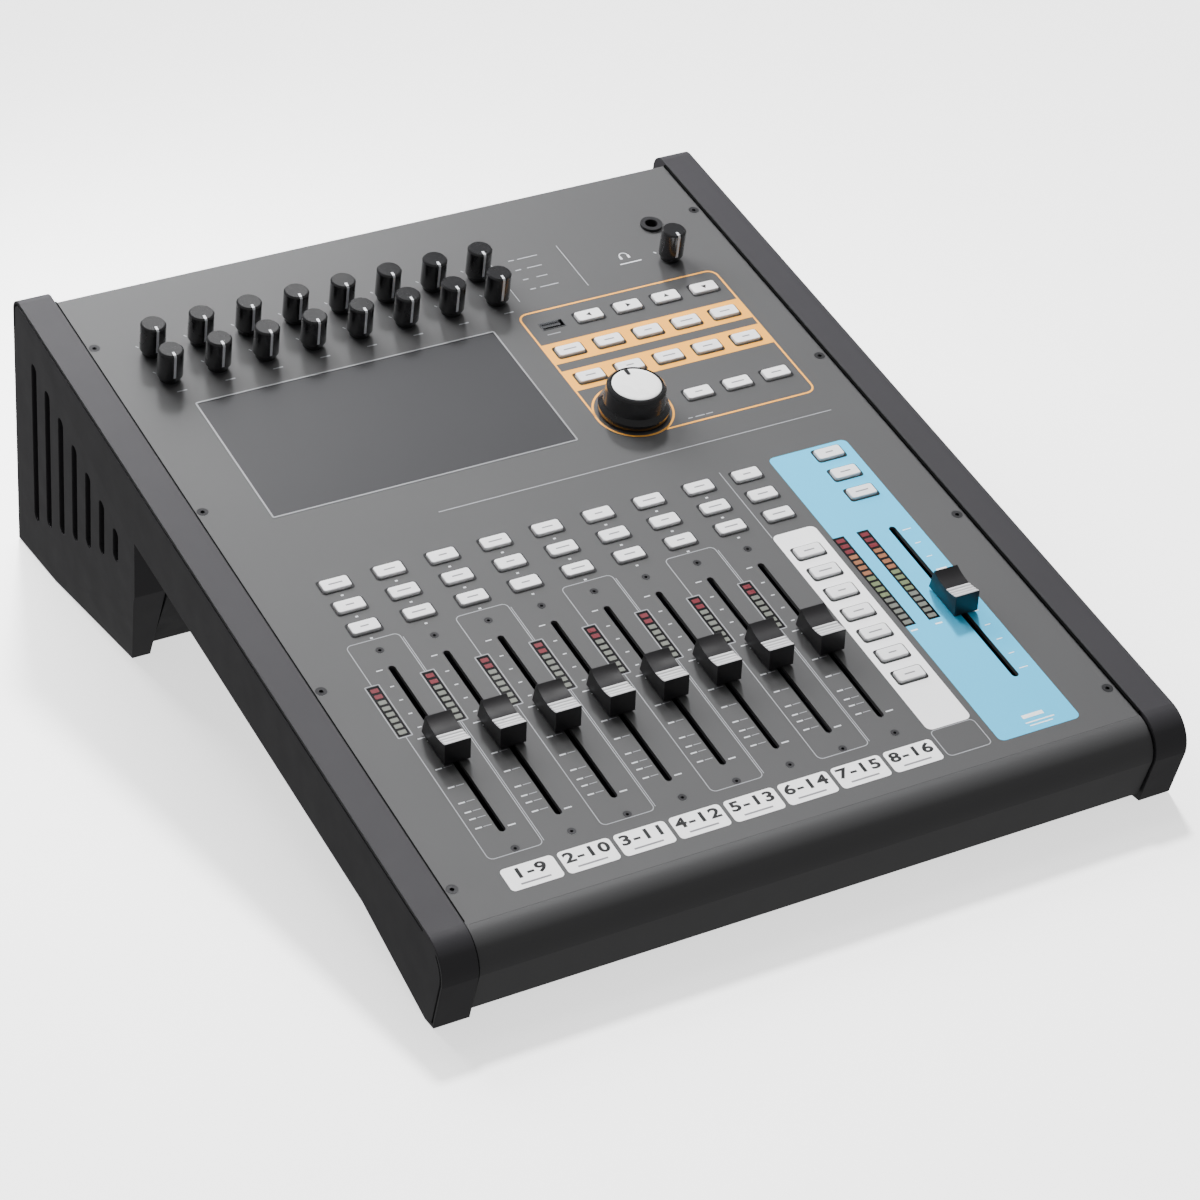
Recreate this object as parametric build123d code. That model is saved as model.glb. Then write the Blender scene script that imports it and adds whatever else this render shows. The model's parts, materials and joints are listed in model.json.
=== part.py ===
"""Digital mixing console with a sloped control panel, nine 100 mm faders and side cheeks.

Everything is modelled in panel axes: X to the right, Y up the panel and Z out of its face,
with the origin on the face at the front row of panel screws. One last move tilts it all by the
panel slope, lifts it to its height and centres its footprint on the origin.
"""

from build123d import *
from math import cos, radians, sin
import os

# ---- Driving sizes, in millimetres and degrees ----
panel_slope = 13.5
panel_front_height = 48.9      # face above the ground at the front screw row
slab_depth = 33.7              # panel face to the slab's underside
sheet = 2.0                    # top panel
pan_sheet = 1.2
rear_sheet = 1.5
seam = 0.3                     # gap between the panel's underside and what it closes
side_gap = 0.9                 # open line between the cheeks and everything between them

cheek_thickness = 16.5
cheek_proud = 1.6              # cheek top edge above the panel face
cheek_overhang = 9.9           # cheek behind the panel's rear edge
cheek_foot_gap = 0.8           # cheek above the ground, on its rubber pads
nose_radius = 16.0
nose_recess = 1.0              # panel's nose behind the cheeks' noses
nose_ground_gap = 5.0
nose_lip = 9.0                 # the nose's last fold, underneath
nose_seam = 0.05               # panel's front edge to the nose
rear_fold = 4.5                # panel's lip over the rear panel
rear_edge_radius = 1.5
pan_ground_gap = 8.0
pan_front_drop = 3.2           # pan's front edge under the panel
pan_front_reach = 9.5          # pan in front of the panel's edge, inside the nose
ear_size = (3.0, 7.0, 14.0)    # past the screw, along the side wall, below the face
front_lean = 3.3               # the nose runs back this far towards the ground
front_foot_length = 8.0
front_foot_rise_end = 36.0
rear_foot_slant = 27.0
vent_count = 7
vent_width = 6.4
vent_pitch = 16.9
vent_inset = 26.0              # cheek's rear face to the first vent
vent_top = -22.1               # the first vent's ends, from the panel face
vent_bottom = -120.0
vent_top_step = 3.55           # each vent's ends come in by these
vent_bottom_step = 9.6
mid_facet_tilt = 1.5
low_facet_tilt = 10.0
groove_inset = 1.3
groove_width = 1.1
groove_depth = 1.0

# Panel layout, left to right
left_margin = 39.3
channel_pitch = 26.5
channels = 8
strip_step = 25.5              # last channel to the layer key column
master_step = 44.9
right_margin = 38.8
screw_inset = 4.6

# Panel layout, front to rear
front_run = 20.2               # front screw row to the panel's front edge
slot_front = 21.8
fader_travel = 100.0
stem_length = 6.0
stem_end_gap = 1.05
key_row_step = 15.0
first_key_row = 26.4           # slot end to the first key row
display_step = 51.8            # last key row to the display
display_length = 86.2
knob_row_step = 20.6
knob_row_start = 21.2          # display to the first knob row
rear_run = 52.6                # last knob row to the panel's rear edge

# Faders
slot_width = 3.2
stem_thickness = 1.2
cap_width = 12.4
cap_length = 22.0
cap_top_length = 19.0
cap_height = 11.6
cap_saddle = 2.0
cap_lift = 1.3                 # cap above the panel face
fader_screw_step = 10.7        # slot end to the fader's screw
fader_frame_width = 20.0
fader_frame_depth = 25.0
carriage_depth = 14.0
carriage_size = (12.0, 10.0, 6.0)
rod_radius = 1.5
rod_spacing = 7.0
running_gap = 0.05
motor_radius = 7.0
motor_length = 24.0

# Keys
key_width = 13.6
key_length = 7.2
key_top = 1.3
key_travel = 0.5
key_gap = 0.6
key_corner = 1.3
key_flange = 1.6
key_grid_pitch = 21.45
layer_key_step = 14.7
layer_keys_count = 7
board_depth = 6.0
board_sheet = 1.6

# Knobs
knob_pitch = 24.5
knob_margin = 28.5
knob_count = 8
knob_radius = 6.2
knob_top_radius = 6.1
knob_foot_radius = 5.0
knob_foot_height = 1.6
knob_chamfer = 0.8
knob_height = 18.0
knob_lift = 0.8
knob_turn = 310.0              # from stop to stop
spindle_radius = 3.0
bush_wall = 0.6
bush_radius = spindle_radius + bush_wall
encoder_radius = 17.2          # its skirt
encoder_skirt = 4.0
encoder_body_radius = 15.0
encoder_top_radius = 14.3
encoder_dish_radius = 12.0
encoder_height = 15.6
encoder_margin = 110.7         # from the panel's right edge
phones_knob_margin = 36.0
phones_jack_margin = 31.6
jack_radius = 3.2
jack_ring_radius = 5.6
jack_ring_height = 1.4
jack_bore_depth = 27.0

# Display and meters
display_margin = 33.2
display_width = 154.4
glass_thickness = 1.1
ledge = 2.2
module_depth = 6.0
meter_offset = 13.2
meter_size = (5.6, 32.4)
meter_rear_gap = 9.2           # slot end to the channel meter's rear end
master_meter_size = (6.0, 64.0)
master_meter_offsets = (27.2, 14.2)
master_meter_overrun = 2.4     # master meters' rear ends behind the slot end

# Rear panel
socket_pitch = 28.0
socket_row_pitch = 34.0
socket_first_row = 26.0        # below the panel face
socket_columns = 8
socket_shift = -30.0
flange_size = (26.0, 31.0, 1.6)
barrel_radius = 11.6
barrel_length = 20.0
socket_recess_radius = 9.0
socket_recess_depth = 15.0
inlet_margin = 42.0
inlet_depth = 100.0            # below the panel face
inlet_size = (30.0, 58.0)
inlet_flange = (2.0, 3.0)      # inlet's flange past its body, sideways and upwards
inlet_flange_thickness = 1.8
recess_size = (24.0, 16.0, 16.4)
recess_drop = 11.0             # inlet module's middle down to the recess
blade_size = (2.0, 9.0, 4.0)
rear_vent_count = 12
rear_vent_pitch = 9.0
rear_vent_size = (3.5, 12.0)
rear_vent_drop = 28.0          # below the lowest socket row
rocker_rise = 17.0             # inlet module centre up to the rocker's pivot
rocker_half = 9.0
rocker_width = 11.0
pivot_radius = 1.2
pivot_inset = 3.0              # pivot in front of the rear panel's outer face
usb_size = (12.6, 5.6)
fit_gap = 0.15
seat_gap = 0.05                # between faces that are screwed together

# Inside and underneath
foot_size = (9.0, 6.0, 2.0)
supply_size = (60.0, 76.0, 34.0)
supply_legs = 3.0
supply_setback = 82.0          # rear panel to the supply's middle

# Screws
screw_radius = 1.5
screw_head_radius = 2.6
screw_length = 8.0
fader_screw_radius = 1.2
fader_screw_head = 1.9
fader_screw_length = 5.0
screw_key_radius = 1.1         # the hexagon recess's corner radius
fader_screw_key_radius = 0.8
rear_screw_radius = 1.2
rear_screw_head = 2.2
rear_screw_head_height = 0.9
rear_screw_length = 6.0
rear_screw_slot = 0.7
flange_screw_inset = 2.6       # socket flange's edge to its screws
screw_gap = 0.1

# ---- Sizes that follow ----
panel_width = left_margin + (channels - 1) * channel_pitch + strip_step + master_step + right_margin
panel_left = -panel_width / 2
panel_right = panel_width / 2
half_casing = panel_width / 2 - side_gap

slot_length = fader_travel + stem_length + 2 * stem_end_gap
slot_rear = slot_front + slot_length
slot_middle = (slot_front + slot_rear) / 2
key_rows = [slot_rear + first_key_row + row * key_row_step for row in range(3)]
display_front = key_rows[-1] + display_step
display_rear = display_front + display_length
knob_rows = [display_rear + knob_row_start, display_rear + knob_row_start + knob_row_step]
panel_rear = knob_rows[-1] + rear_run
rear_face = panel_rear + cheek_overhang
rear_plane = panel_rear - sheet            # outer face of the rear panel
foot_front = display_front + 40.5          # front of the cheeks' rear feet

channel_x = [panel_left + left_margin + index * channel_pitch for index in range(channels)]
strip_x = channel_x[-1] + strip_step
master_x = strip_x + master_step
fader_x = channel_x + [master_x]
grid_x = [panel_right - 32.0 - column * key_grid_pitch for column in range(5)][::-1]
grid_rows = [display_front + offset for offset in (10.0, 39.6, 60.8, 81.6)]
knob_x = [panel_left + knob_margin + index * knob_pitch for index in range(knob_count)]
display_x = panel_left + display_margin + display_width / 2
display_y = (display_front + display_rear) / 2
encoder_place = (panel_right - encoder_margin, display_front + 9.7)
phones_knob_place = (panel_right - phones_knob_margin, knob_rows[0] + 1.6)
phones_jack_place = (panel_right - phones_jack_margin, knob_rows[1] + 8.7)
usb_place = (grid_x[0] + 1.3, grid_rows[3])
layer_rows = [slot_front + 18.7 + row * layer_key_step for row in range(layer_keys_count)]
screw_rows = [row * (panel_rear - 39.8) / 3 for row in range(4)]
socket_x = [socket_shift + (column - 3.5) * socket_pitch for column in range(socket_columns)]
socket_rows = [-socket_first_row - row * socket_row_pitch for row in range(3)]
inlet_place = (panel_right - inlet_margin, -inlet_depth)

key_banks = {
    "mute_keys": [(x, key_rows[0]) for x in channel_x],
    "solo_keys": [(x, key_rows[1]) for x in channel_x],
    "select_keys": [(x, key_rows[2]) for x in channel_x],
    "bus_keys": [(strip_x, y) for y in key_rows],
    "master_keys": [(master_x, y) for y in key_rows],
    "layer_keys": [(strip_x, y) for y in layer_rows],
    "page_keys": [(x, grid_rows[3]) for x in grid_x[1:]],
    "function_keys": [(x, y) for y in grid_rows[1:3] for x in grid_x],
    "edit_keys": [(x, grid_rows[0]) for x in grid_x[2:]],
}
all_keys = [place for places in key_banks.values() for place in places]
meter_y = slot_rear - meter_rear_gap - meter_size[1] / 2
master_meter_y = slot_rear + master_meter_overrun - master_meter_size[1] / 2
meters = [(x - meter_offset, meter_y, meter_size) for x in channel_x]
meters += [(master_x - offset, master_meter_y, master_meter_size) for offset in master_meter_offsets]
fader_screw_rows = (slot_front - fader_screw_step, slot_rear + fader_screw_step)
fader_screws = [(x, y) for x in fader_x for y in fader_screw_rows]
panel_screws_at = [(side * (panel_right - screw_inset), y) for side in (-1, 1) for y in screw_rows]


def ground_point(y, z):
    """The panel-axes (Y, Z) of a point given by its level distance and height."""
    drop = z - panel_front_height
    slope = radians(panel_slope)
    return (y * cos(slope) + drop * sin(slope), drop * cos(slope) - y * sin(slope))


def ground_y(y, z):
    """The level distance of a point given in panel axes."""
    slope = radians(panel_slope)
    return y * cos(slope) - z * sin(slope)


def height_at(y, level):
    """The panel-axes Z of a level plane at this height, above panel distance y."""
    slope = radians(panel_slope)
    return (level - panel_front_height - y * sin(slope)) / cos(slope)


def block(size_x, size_y, low, high, x=0.0, y=0.0):
    """A box given by its footprint and its low and high Z."""
    return Pos(x, y, (low + high) / 2) * Box(size_x, size_y, high - low)


def disc(radius, low, high, x=0.0, y=0.0):
    return Pos(x, y, (low + high) / 2) * Cylinder(radius, high - low)


def rounded_block(size_x, size_y, low, high, corner, x=0.0, y=0.0):
    outline = RectangleRounded(size_x, size_y, corner)
    return Pos(x, y, low) * extrude(outline, high - low)


def rear_disc(radius, front, rear, x, z):
    """A round bar along Y."""
    return Pos(x, (front + rear) / 2, z) * Rot(90, 0, 0) * Cylinder(radius, rear - front)


# ---- Casing ----
nose_front = -front_run - nose_radius


def nose_arc(start, radius):
    """The quarter circle from the flat top round to the front face, and its lower end."""
    centre = (start[0], start[1] - radius)
    lean = radians(45)
    middle = (centre[0] - radius * sin(lean), centre[1] + radius * cos(lean))
    end = (centre[0] - radius, centre[1])
    return ThreePointArc(start, middle, end), end


def cheek_outline():
    """The cheek from the side, on its own plane with panel Y and Z as its axes."""
    arc, arc_end = nose_arc((-front_run, cheek_proud), nose_radius)
    foot_level = cheek_foot_gap
    front_bottom = (nose_front + front_lean, height_at(nose_front + front_lean, foot_level))
    front_y = ground_y(*front_bottom)
    foot_rear = ground_point(front_y + front_foot_length, foot_level)
    slab_front = (front_foot_rise_end, -slab_depth)
    rear_bottom = (rear_face, height_at(rear_face, foot_level))
    foot_top = (foot_front, -slab_depth)
    foot_knee = (foot_front - 0.5, -slab_depth - 33.0)
    knee_y = ground_y(*foot_knee)
    foot_toe = ground_point(knee_y + rear_foot_slant, foot_level)
    top_rear = (rear_face, cheek_proud)
    lines = Polyline(
        arc_end, front_bottom, foot_rear, slab_front, foot_top, foot_knee, foot_toe,
        rear_bottom, top_rear, (-front_run, cheek_proud),
    )
    face = make_face([arc, *lines.edges()])
    corner = face.vertices().sort_by_distance((rear_face, cheek_proud, 0))[0]
    return fillet(corner, 8.0)


def facet_cut(low_point, high_point, tilt):
    """A block outside the plane that leans in below the crease between two (Y, Z) points."""
    crease = Vector(0, high_point[0] - low_point[0], high_point[1] - low_point[1]).normalized()
    outward = Vector(1, 0, 0).rotate(Axis((0, 0, 0), crease), tilt)
    if outward.Z > 0:
        outward = Vector(1, 0, 0).rotate(Axis((0, 0, 0), crease), -tilt)
    origin = (panel_right + cheek_thickness, *low_point)
    side = Plane(origin=origin, x_dir=crease, z_dir=outward)
    reach = 2 * rear_face
    depth = 4 * cheek_thickness
    outside = side * Pos(0, 0, depth / 2) * Box(2 * reach, 2 * reach, depth)
    foot_side = block(depth, reach, -rear_face, 0, panel_right + cheek_thickness, foot_front - 1 + reach / 2)
    return outside & foot_side


def cheek_groove(outline):
    """The thin line round the outer top edge, from the nose's foot to the rear corner."""
    ring = offset(outline, amount=-groove_inset) - offset(outline, amount=-groove_inset - groove_width)
    top_part = Pos(rear_face / 2, 0) * Rectangle(rear_face + 2 * nose_radius, 2 * nose_radius)
    nose_part = Pos(nose_front, -nose_radius) * Rectangle(nose_radius, 3 * nose_radius)
    line = ring & (top_part + nose_part)
    return Plane.YZ.offset(panel_right + cheek_thickness - groove_depth) * extrude(line, 3 * groove_depth)


def vent_slots():
    """Upright slots whose ends follow the two creases."""
    slots = []
    for index in range(vent_count):
        y = rear_face - vent_inset - vent_pitch * index
        top = vent_top - vent_top_step * index
        bottom = vent_bottom + vent_bottom_step * index
        outline = Pos(y, (top + bottom) / 2) * SlotOverall(top - bottom, vent_width, rotation=90)
        slots.append(Plane.YZ.offset(panel_right - 1) * extrude(outline, cheek_thickness + 2))
    return slots


def cheek_right():
    outline = cheek_outline()
    body = Plane.YZ.offset(panel_right) * extrude(outline, cheek_thickness)
    upper = ((foot_front, -36.2), (foot_front + 138.0, -6.8))
    lower = ((foot_front, -65.0), (foot_front + 139.7, -141.0))
    body -= facet_cut(*upper, mid_facet_tilt)
    body -= facet_cut(*lower, low_facet_tilt)
    body -= cheek_groove(outline)
    for slot in vent_slots():
        body -= slot
    for x, y in foot_places():
        pocket = level_to_panel * block(foot_size[0] + fit_gap, foot_size[1] + fit_gap, 0, foot_size[2], x, y)
        body -= pocket
    return body


def foot_places():
    """Level (X, Y) of the rubber pads under the right cheek."""
    front_y = ground_y(nose_front + front_lean, height_at(nose_front + front_lean, 0))
    rear_y = ground_y(rear_face, height_at(rear_face, 0))
    x = panel_right + cheek_thickness / 2 - 3.0
    return [(x, front_y + 4.5), (x, rear_y - 12.0), (x, rear_y - 100.0)]


def rubber_feet():
    pads = []
    for side in (-1, 1):
        for x, y in foot_places():
            pads.append(level_to_panel * block(foot_size[0], foot_size[1], 0, foot_size[2], side * x, y))
    return Compound(children=pads)


def front_nose():
    """The rolled nose, flush with the panel in front of it and folded back underneath."""
    radius = nose_radius - nose_recess
    start = -front_run - nose_seam
    outer, outer_end = nose_arc((start, 0.0), radius)
    inner, inner_end = nose_arc((start, -sheet), radius - sheet)
    foot_y = outer_end[0] + front_lean
    foot_z = height_at(foot_y, nose_ground_gap)
    lip_end = foot_y + nose_lip
    lip = [(foot_y, foot_z), (lip_end, foot_z), (lip_end, foot_z + sheet), (foot_y + sheet, foot_z + sheet)]
    lines = Polyline(outer_end, *lip, inner_end)
    top = Line((start, -sheet), (start, 0.0))
    outline = make_face([outer, *lines.edges(), inner, top])
    return Plane.YZ.offset(-half_casing) * extrude(outline, 2 * half_casing)


def pan_points():
    """The base pan's outer (Y, Z) outline, closed through the open top and rear."""
    floor = -slab_depth + 1.0
    box_front = foot_front - 2.0
    knee = (box_front, -slab_depth - 32.0)
    toe = ground_point(ground_y(*knee) + rear_foot_slant, pan_ground_gap)
    inside = rear_plane - rear_sheet
    top = -sheet - seam - pan_front_drop
    return [
        (-front_run + 1.0, top),
        (-front_run - 4.5, top - 3.0),
        (-front_run - pan_front_reach, top - 9.0),
        (-front_run - pan_front_reach, floor),
        (box_front, floor),
        knee,
        toe,
        (inside, height_at(inside, pan_ground_gap)),
        (inside, top),
    ]


def base_pan():
    """The folded steel pan: side walls, stepped floor and the ears that the panel screws hold."""
    outline = make_face(Polyline(*pan_points(), close=True).edges())
    inner = offset(outline, amount=-pan_sheet)
    outer_solid = Plane.YZ.offset(-half_casing) * extrude(outline, 2 * half_casing)
    inner_width = 2 * (half_casing - pan_sheet)
    hollow = Plane.YZ.offset(-half_casing + pan_sheet) * extrude(inner, inner_width)
    pan = outer_solid - hollow
    lip = height_at(rear_plane, pan_ground_gap) + 2 * pan_sheet
    pan -= block(inner_width, rear_plane + 2.0, -20.0, 0.0, 0, rear_plane / 2 - 8.0)
    pan -= block(inner_width, 3 * pan_sheet, lip, 0.0, 0, rear_plane - rear_sheet - pan_sheet)
    past_screw, ear_length, ear_drop = ear_size
    for x, y in panel_screws_at:
        side = 1 if x > 0 else -1
        width = half_casing - pan_sheet / 2 - abs(x) + past_screw
        ear_x = side * (abs(x) - past_screw + width / 2)
        wall_x = side * (half_casing - pan_sheet / 2)
        ear = block(width, ear_length, -ear_drop, -sheet - seam, ear_x, y)
        ear -= disc(screw_radius + screw_gap, -ear_drop, 0, x, y)
        wall = block(pan_sheet, ear_length, -ear_drop, -sheet - seam, wall_x, y)
        pan += ear + wall
    return pan


def top_panel():
    length = panel_rear + front_run
    panel = block(2 * half_casing, length, -sheet, 0, 0, (panel_rear - front_run) / 2)
    panel += block(2 * half_casing, sheet, -rear_fold, 0, 0, panel_rear - sheet / 2)
    rear_edge = panel.edges().filter_by(Axis.X).sort_by(lambda edge: edge.center().Y + edge.center().Z)[-1]
    panel = fillet(rear_edge, rear_edge_radius)
    cuts = []
    slot_outline = SlotOverall(slot_length, slot_width, rotation=90)
    for x in fader_x:
        cuts.append(Pos(x, slot_middle, -sheet - 1) * extrude(slot_outline, sheet + 2))
    hole_width = key_width + key_gap
    hole_length = key_length + key_gap
    for x, y in all_keys:
        cuts.append(rounded_block(hole_width, hole_length, -sheet - 1, 1, key_corner + key_gap / 2, x, y))
    for x, y, (width, size_y) in meters:
        cuts.append(block(width + fit_gap, size_y + fit_gap, -sheet - 1, 1, x, y))
    for x, y in knob_places() + [phones_knob_place, encoder_place]:
        cuts.append(disc(bush_radius + screw_gap, -sheet - 1, 1, x, y))
    cuts.append(disc(jack_ring_radius - 1.0, -sheet - 1, 1, *phones_jack_place))
    cuts.append(block(usb_size[0] + fit_gap, usb_size[1] + fit_gap, -sheet - 1, 1, *usb_place))
    for x, y in panel_screws_at:
        cuts.append(sunk_screw(x, y, screw_radius, screw_head_radius, screw_length, screw_gap))
    for x, y in fader_screws:
        cuts.append(sunk_screw(x, y, fader_screw_radius, fader_screw_head, screw_length, screw_gap))
    seat = -glass_thickness - fit_gap
    for grow, low in ((fit_gap, seat), (-2 * ledge, -sheet - 1)):
        cuts.append(block(display_width + grow, display_length + grow, low, 1, display_x, display_y))
    return panel - cuts


def rear_panel():
    bottom = height_at(rear_plane, pan_ground_gap) + 0.6
    width = 2 * half_casing
    plate = block(width, rear_sheet, bottom, -sheet - fit_gap, 0, rear_plane - rear_sheet / 2)
    for x in socket_x:
        for z in socket_rows:
            plate -= rear_disc(barrel_radius + fit_gap, rear_plane - 5, rear_plane + 5, x, z)
    for x, z in rear_screws_at():
        plate -= rear_disc(rear_screw_radius + screw_gap, rear_plane - 5, rear_plane + 5, x, z)
    plate -= Pos(inlet_place[0], rear_plane, inlet_place[1]) * Box(
        inlet_size[0] - 2 * inlet_flange[0] + fit_gap, 10, inlet_size[1] - 2 * inlet_flange[1] + fit_gap
    )
    for index in range(rear_vent_count):
        x = socket_shift + (index - (rear_vent_count - 1) / 2) * rear_vent_pitch
        z = socket_rows[2] - rear_vent_drop
        plate -= Pos(x, rear_plane, z) * Box(rear_vent_size[0], 10, rear_vent_size[1])
    return plate


# ---- Faders ----
def fader_cap(x):
    """The finger cap with its saddle top, and its stem and carriage as separate solids."""
    low = cap_lift
    high = cap_height
    half_low = cap_length / 2
    half_high = cap_top_length / 2
    saddle_low = high - cap_saddle
    outline = [
        Line((-half_low, low), (half_low, low)),
        Line((half_low, low), (half_high, high)),
        ThreePointArc((half_high, high), (0, saddle_low), (-half_high, high)),
        Line((-half_high, high), (-half_low, low)),
    ]
    cap = Plane.YZ.offset(-cap_width / 2) * extrude(make_face(outline), cap_width)
    socket_top = saddle_low - 1.6
    cap -= block(stem_thickness, stem_length, low - 1, socket_top)
    width, size_y, size_z = carriage_size
    stem = block(stem_thickness, stem_length, -carriage_depth, socket_top)
    carriage = block(width, size_y, -carriage_depth - size_z, -carriage_depth)
    for side in (-1, 1):
        carriage -= rear_disc(
            rod_radius + running_gap, -size_y, size_y, side * rod_spacing / 2, -carriage_depth - size_z / 2
        )
    place = Pos(x, slot_middle, 0)
    return Compound(children=[place * cap, place * stem, place * carriage])


def fader_frame(x):
    """The steel frame under the panel, with end walls, screw tabs and two guide rods."""
    wall_front = slot_front - fader_screw_step + 4.5
    wall_rear = slot_rear + fader_screw_step - 4.5
    floor = block(
        fader_frame_width, wall_rear - wall_front, -fader_frame_depth, -fader_frame_depth + 1.0,
        x, (wall_front + wall_rear) / 2,
    )
    rod_z = -carriage_depth - carriage_size[2] / 2
    frame = floor
    for wall_y, tab_side in ((wall_front, -1), (wall_rear, 1)):
        wall = block(fader_frame_width, 1.2, -fader_frame_depth, -sheet - 0.05, x, wall_y)
        tab = block(8.0, 9.0, -sheet - 1.25, -sheet - 0.05, x, wall_y + tab_side * 4.5)
        screw_y = slot_front - fader_screw_step if tab_side < 0 else slot_rear + fader_screw_step
        frame += wall + (tab - disc(fader_screw_radius + screw_gap, -10, 0, x, screw_y))
    rods = []
    for side in (-1, 1):
        rod_x = x + side * rod_spacing / 2
        frame -= rear_disc(rod_radius, wall_front - 2, wall_rear + 2, rod_x, rod_z)
        rods.append(rear_disc(rod_radius, wall_front - 0.6, wall_rear + 0.6, rod_x, rod_z))
    return [frame, *rods]


def fader_frames():
    return Compound(children=[piece for x in fader_x for piece in fader_frame(x)])


def fader_motors():
    """One motor behind each fader frame, with its flanged front."""
    front = slot_rear + fader_screw_step + 6.5
    pieces = []
    for x in fader_x:
        z = -fader_frame_depth + motor_radius
        motor = rear_disc(motor_radius, front, front + motor_length, x, z)
        motor += rear_disc(2.5, front - 1.5, front, x, z)
        motor += rear_disc(1.0, front - 6.0, front - 1.0, x, z)
        pieces.append(motor)
    return Compound(children=pieces)


# ---- Keys ----
def key_cap(x, y):
    """One key: a rounded cap through the panel, with a flange under it."""
    cap = rounded_block(key_width, key_length, -sheet - 1.0, key_top, key_corner, x, y)
    top = cap.faces().sort_by(Axis.Z)[-1]
    cap = fillet(top.edges(), 0.5)
    cap += rounded_block(
        key_width + key_flange, key_length + key_flange, -sheet - 1.2, -sheet - 0.2, key_corner, x, y
    )
    return cap


def key_bank(places):
    return Compound(children=[key_cap(x, y) for x, y in places])


def key_boards():
    """The three boards behind the keys and the switch under each key."""
    low = -board_depth - board_sheet
    switch_top = -sheet - 1.2 - key_travel - 0.15
    span = strip_x - channel_x[0] + key_width + 8
    boards = [
        block(span, 44.0, low, -board_depth, (strip_x + channel_x[0]) / 2, key_rows[1]),
        block(key_width + 8, 44.0, low, -board_depth, master_x, key_rows[1]),
        block(
            key_width + 8, layer_rows[-1] - layer_rows[0] + 14.0, low, -board_depth,
            strip_x, (layer_rows[0] + layer_rows[-1]) / 2,
        ),
        block(
            grid_x[-1] - grid_x[0] + 20.0, grid_rows[3] - grid_rows[1] + 12.0, low, -board_depth,
            (grid_x[0] + grid_x[-1]) / 2, (grid_rows[1] + grid_rows[3]) / 2,
        ),
        block(
            grid_x[-1] - grid_x[2] + 20.0, 14.0, low, -board_depth,
            (grid_x[2] + grid_x[-1]) / 2, grid_rows[0],
        ),
    ]
    usb_hole = block(usb_size[0] + 4, usb_size[1] + 4, low - 1, 0, *usb_place)
    boards[3] -= usb_hole
    switches = [block(6.0, 6.0, -board_depth, switch_top, x, y) for x, y in all_keys]
    return Compound(children=boards + switches)


# ---- Knobs ----
def knob_places():
    return [(x, y) for y in knob_rows[::-1] for x in knob_x]


def turned(points, place):
    """A body turned about Z from its (radius, height) outline."""
    outline = Plane.XZ * make_face(Polyline(*points, close=True).edges())
    return Pos(*place, 0) * revolve(outline, Axis.Z)


def knob(place):
    """A slim knob with a narrow foot, pressed on its spindle."""
    bore_top = knob_lift + 10.0
    waist = knob_lift + knob_foot_height
    outline = [
        (0, knob_lift),
        (knob_foot_radius, knob_lift),
        (knob_foot_radius, waist),
        (knob_radius, waist + knob_radius - knob_foot_radius),
        (knob_top_radius, knob_height - knob_chamfer),
        (knob_top_radius - knob_chamfer, knob_height),
        (0, knob_height),
    ]
    body = turned(outline, place)
    body -= disc(spindle_radius, knob_lift - 1, bore_top, *place)
    spindle = disc(spindle_radius, -9.0, bore_top, *place)
    return Compound(children=[body, spindle])


def encoder_knob():
    """The encoder's large skirted knob with a dished top, pressed on its spindle."""
    top = encoder_height
    skirt_top = knob_lift + encoder_skirt
    dish = top - 0.5
    outline = [
        (0, knob_lift),
        (encoder_radius, knob_lift),
        (encoder_radius, skirt_top - 1.0),
        (encoder_body_radius, skirt_top + 1.2),
        (encoder_top_radius, top - 1.2),
        (encoder_top_radius - 1.2, top),
        (encoder_dish_radius, top),
        (encoder_dish_radius, dish),
        (0, dish),
    ]
    body = turned(outline, encoder_place)
    body -= disc(spindle_radius, knob_lift - 1, top - 4.0, *encoder_place)
    spindle = disc(spindle_radius, -9.0, top - 4.0, *encoder_place)
    return Compound(children=[body, spindle])


def pot(place, size):
    """A pot's or encoder's housing with the bush that its spindle turns in."""
    body = block(size, size, -12.0, -sheet - 1.0, *place)
    body += disc(bush_radius, -sheet - 1.0, 0.4, *place)
    body -= disc(spindle_radius + running_gap, -9.2, 1, *place)
    return body


def gain_pots():
    return Compound(children=[pot(place, 10.0) for place in knob_places() + [phones_knob_place]])


# ---- Display and meters ----
def display_glass():
    return rounded_block(
        display_width, display_length, -glass_thickness - 0.05, -0.05, 0.8, display_x, display_y
    )


def display_module():
    low = -sheet - 0.1 - module_depth
    return block(display_width + 10.0, display_length + 8.0, low, -sheet - 0.1, display_x, display_y)


def meter_windows():
    windows = [block(width, size_y, -sheet + 0.1, -0.1, x, y) for x, y, (width, size_y) in meters]
    return Compound(children=windows)


# ---- Sockets ----
def usb_socket():
    """The upright USB socket: a metal shell with its tongue."""
    width, height = usb_size
    shell = block(width, height, -15.0, 0.2, *usb_place)
    shell -= block(width - 0.8, height - 0.8, -13.5, 1.0, *usb_place)
    shell += block(width - 2.4, 1.7, -14.0, -1.2, usb_place[0], usb_place[1] + 1.2)
    return shell


def phones_socket():
    """The 6.35 mm headphone socket, with its ring above the panel."""
    body = block(15.0, 16.0, -30.0, -sheet - 0.1, *phones_jack_place)
    body += disc(jack_ring_radius - 1.1, -sheet - 0.1, 0.0, *phones_jack_place)
    body += disc(jack_ring_radius, 0.02, jack_ring_height, *phones_jack_place)
    body += disc(jack_ring_radius - 1.1, -0.5, 0.5, *phones_jack_place)
    body -= disc(jack_radius, -jack_bore_depth, jack_ring_height + 1, *phones_jack_place)
    return body


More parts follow.
